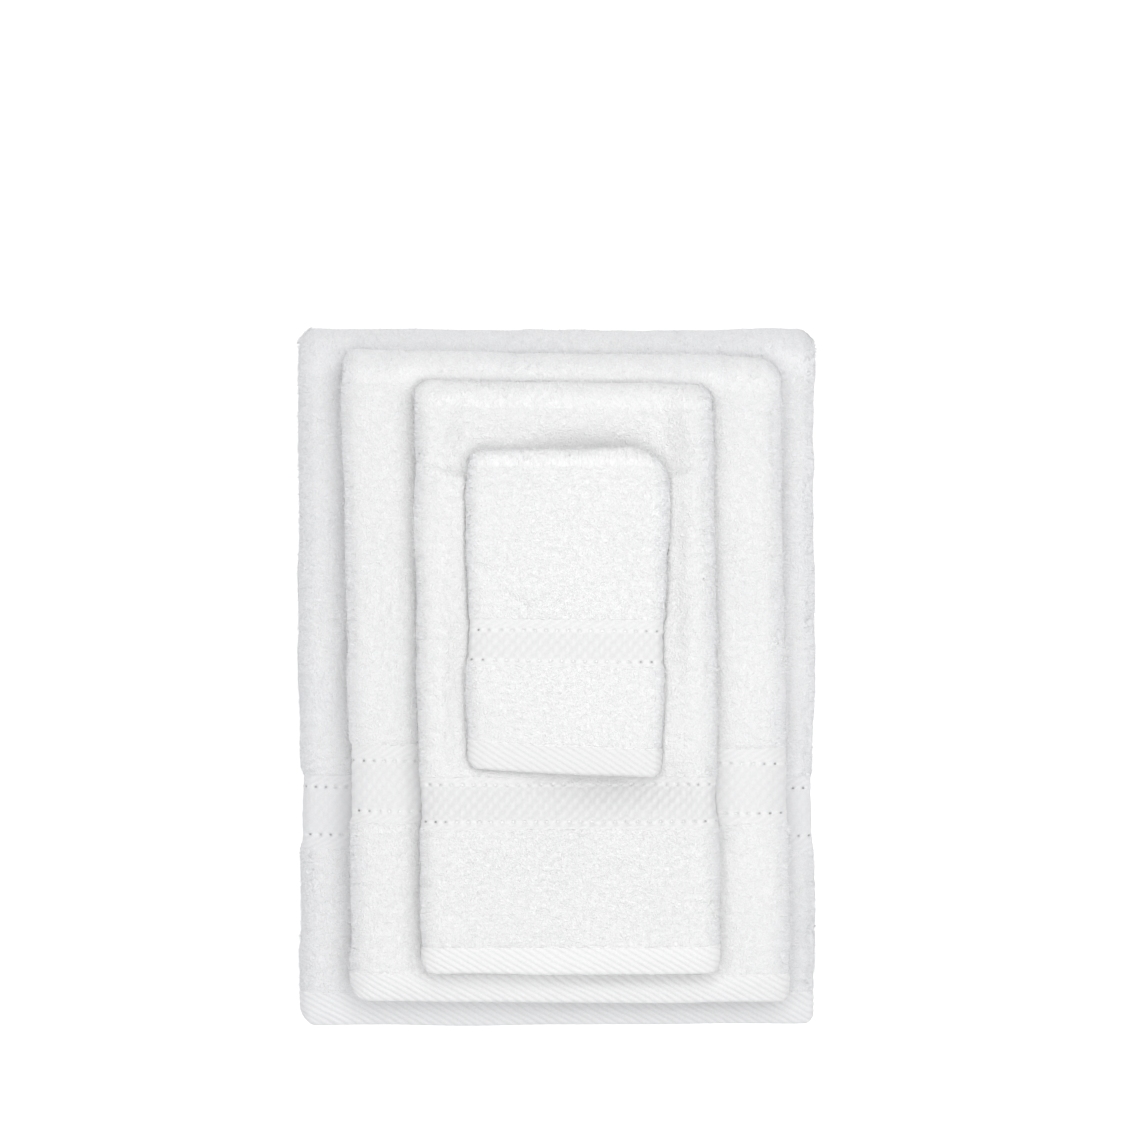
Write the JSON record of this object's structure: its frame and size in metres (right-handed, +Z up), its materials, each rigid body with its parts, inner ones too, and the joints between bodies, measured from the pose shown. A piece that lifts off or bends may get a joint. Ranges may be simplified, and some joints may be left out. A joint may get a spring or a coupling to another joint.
{
  "type": "bath towel set",
  "caption": "Stack of folded white terry towels, largest at the bottom, each with a woven border band and a diagonally ribbed hem; each lifts off and opens at its far fold.",
  "frame": {"origin": "middle of the stack's footprint, on the surface it stands on", "axes": "+Z up through the stack, +Y from the hem ends towards the far folds, +X to the right when looking from the hem ends"},
  "size_m": [0.264, 0.3542, 0.1259],
  "materials": {
    "terry": "matt cotton terry loops",
    "dobby": "matt flat-woven cotton with open-work holes",
    "hem": "matt diagonal-ribbed cotton",
    "thread": "matt spun sewing thread"
  },
  "bodies": {
    "bath_sheet_lower": {"bath_sheet_far_fold": "terry", "bath_sheet_lower_leaves": "terry"},
    "bath_sheet_flap": {"bath_sheet_hem_stitching": "thread", "bath_sheet_inner_border": "dobby", "bath_sheet_inner_end_strip": "terry", "bath_sheet_inner_field": "terry", "bath_sheet_inner_hem": "hem", "bath_sheet_top_border": "dobby", "bath_sheet_top_end_strip": "terry", "bath_sheet_top_field": "terry", "bath_sheet_top_hem": "hem"},
    "bath_towel_lower": {"bath_towel_far_fold": "terry", "bath_towel_lower_leaves": "terry"},
    "bath_towel_flap": {"bath_towel_hem_stitching": "thread", "bath_towel_inner_border": "dobby", "bath_towel_inner_end_strip": "terry", "bath_towel_inner_field": "terry", "bath_towel_inner_hem": "hem", "bath_towel_top_border": "dobby", "bath_towel_top_end_strip": "terry", "bath_towel_top_field": "terry", "bath_towel_top_hem": "hem"},
    "hand_towel_lower": {"hand_towel_bottom_leaf": "terry", "hand_towel_far_fold": "terry", "hand_towel_tucked_border": "dobby", "hand_towel_tucked_end_strip": "terry", "hand_towel_tucked_field": "terry", "hand_towel_tucked_hem": "hem"},
    "hand_towel_flap": {"hand_towel_hem_stitching": "thread", "hand_towel_top_border": "dobby", "hand_towel_top_end_strip": "terry", "hand_towel_top_field": "terry", "hand_towel_top_hem": "hem"},
    "face_cloth_lower": {"face_cloth_bottom_border": "dobby", "face_cloth_bottom_end_strip": "terry", "face_cloth_bottom_field": "terry", "face_cloth_bottom_hem": "hem", "face_cloth_far_fold": "terry"},
    "face_cloth_flap": {"face_cloth_hem_stitching": "thread", "face_cloth_top_border": "dobby", "face_cloth_top_end_strip": "terry", "face_cloth_top_field": "terry", "face_cloth_top_hem": "hem"}
  },
  "joints": [
    {"name": "bath_sheet_unfold", "type": "hinge", "parent": "bath_sheet_lower", "child": "bath_sheet_flap", "pos_m": [0, 0.1541, 0.023], "axis": [-1, 0, 0], "range_deg": [0, 25], "deforming": ["bath_sheet_far_fold"]},
    {"name": "bath_towel_lift", "type": "slide", "parent": "bath_sheet_flap", "child": "bath_towel_lower", "axis": [0, 0, 1], "range_m": [0, 0.15]},
    {"name": "bath_towel_unfold", "type": "hinge", "parent": "bath_towel_lower", "child": "bath_towel_flap", "pos_m": [0.0046, 0.1458, 0.0643], "axis": [-1, 0, 0], "range_deg": [0, 25], "deforming": ["bath_towel_far_fold"]},
    {"name": "hand_towel_lift", "type": "slide", "parent": "bath_towel_flap", "child": "hand_towel_lower", "axis": [0, 0, 1], "range_m": [0, 0.15]},
    {"name": "hand_towel_unfold", "type": "hinge", "parent": "hand_towel_lower", "child": "hand_towel_flap", "pos_m": [0.0053, 0.133, 0.0956], "axis": [-1, 0, 0], "range_deg": [0, 25], "deforming": ["hand_towel_far_fold"]},
    {"name": "face_cloth_lift", "type": "slide", "parent": "hand_towel_flap", "child": "face_cloth_lower", "axis": [0, 0, 1], "range_m": [0, 0.15]},
    {"name": "face_cloth_unfold", "type": "hinge", "parent": "face_cloth_lower", "child": "face_cloth_flap", "pos_m": [0.0055, 0.1045, 0.1174], "axis": [-1, 0, 0], "range_deg": [0, 170], "deforming": ["face_cloth_far_fold"]}
  ]
}
